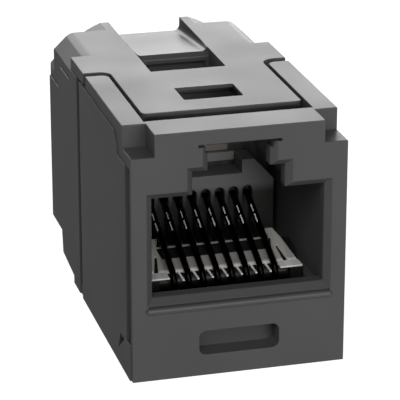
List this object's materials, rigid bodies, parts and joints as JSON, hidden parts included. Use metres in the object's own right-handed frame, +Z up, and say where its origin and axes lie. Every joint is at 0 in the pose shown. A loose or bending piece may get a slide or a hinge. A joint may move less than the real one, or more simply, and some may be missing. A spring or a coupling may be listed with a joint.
{
  "type": "ethernet keystone coupler",
  "caption": "Keystone coupler block that joins two modular network plugs end to end, with a snap-in top tongue, side panels and sprung wire contacts in stepped sockets.",
  "frame": {"origin": "on the flat underside, under the middle of the coupler", "axes": "+X to the right seen from the front socket, +Y from the front face to the rear, +Z up"},
  "size_m": [0.0148, 0.0264, 0.0173],
  "materials": {
    "housing": "satin",
    "sled": "satin",
    "contact": "dark plating",
    "flex": "satin",
    "board": "matte"
  },
  "bodies": {
    "root": {"front_housing": "housing", "rear_housing": "housing", "circuit_board": "board", "front_contact_sled": "sled", "front_flex_circuit": "flex", "front_contact_1": "contact", "front_contact_2": "contact", "front_contact_3": "contact", "front_contact_4": "contact", "front_contact_5": "contact", "front_contact_6": "contact", "front_contact_7": "contact", "front_contact_8": "contact", "rear_contact_sled": "sled", "rear_flex_circuit": "flex", "rear_contact_1": "contact", "rear_contact_2": "contact", "rear_contact_3": "contact", "rear_contact_4": "contact", "rear_contact_5": "contact", "rear_contact_6": "contact", "rear_contact_7": "contact", "rear_contact_8": "contact"}
  },
  "joints": []
}
